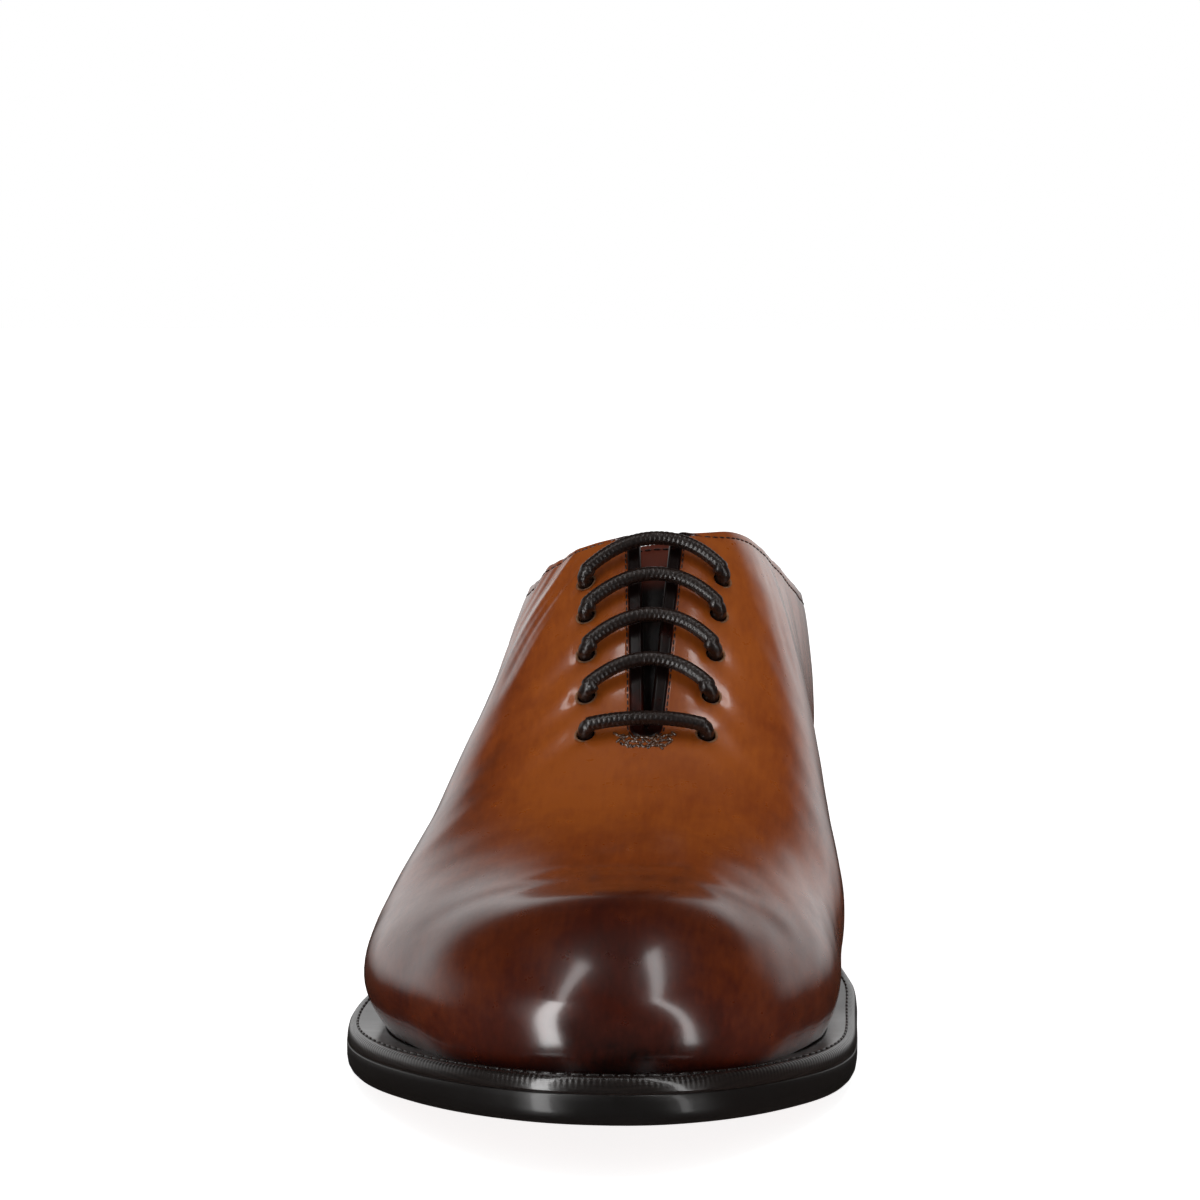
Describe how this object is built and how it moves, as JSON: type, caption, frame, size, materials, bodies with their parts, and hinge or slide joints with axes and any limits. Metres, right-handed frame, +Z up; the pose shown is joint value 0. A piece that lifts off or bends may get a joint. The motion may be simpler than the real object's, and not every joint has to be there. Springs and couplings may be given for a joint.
{
  "type": "whole cut oxford shoe",
  "caption": "Men's right whole cut oxford: seamless calf upper closed by a round lace over a tongue, on a welted leather sole with a stacked heel.",
  "frame": {"origin": "centre of the bounding box's footprint, on the floor that the shoe stands on", "axes": "+Z up; the shoe's length runs along Y with the toe towards -Y and the heel towards +Y; the inner side of the foot is at +X"},
  "size_m": [0.1046, 0.3044, 0.1032],
  "materials": {
    "upper_leather": "polished",
    "tongue_leather": "satin",
    "insole_leather": "matte",
    "edge_leather": "waxed",
    "sole_leather": "polished",
    "top_piece_rubber": "matte",
    "lace_cord": "waxed"
  },
  "bodies": {
    "root": {"upper": "upper_leather", "tongue": "tongue_leather", "insole": "insole_leather", "welt": "edge_leather", "heel_rand": "edge_leather", "outsole": "sole_leather", "heel_lift_1": "edge_leather", "heel_lift_2": "edge_leather", "heel_lift_3": "edge_leather", "heel_top_piece": "top_piece_rubber", "lace": "lace_cord"}
  },
  "joints": []
}
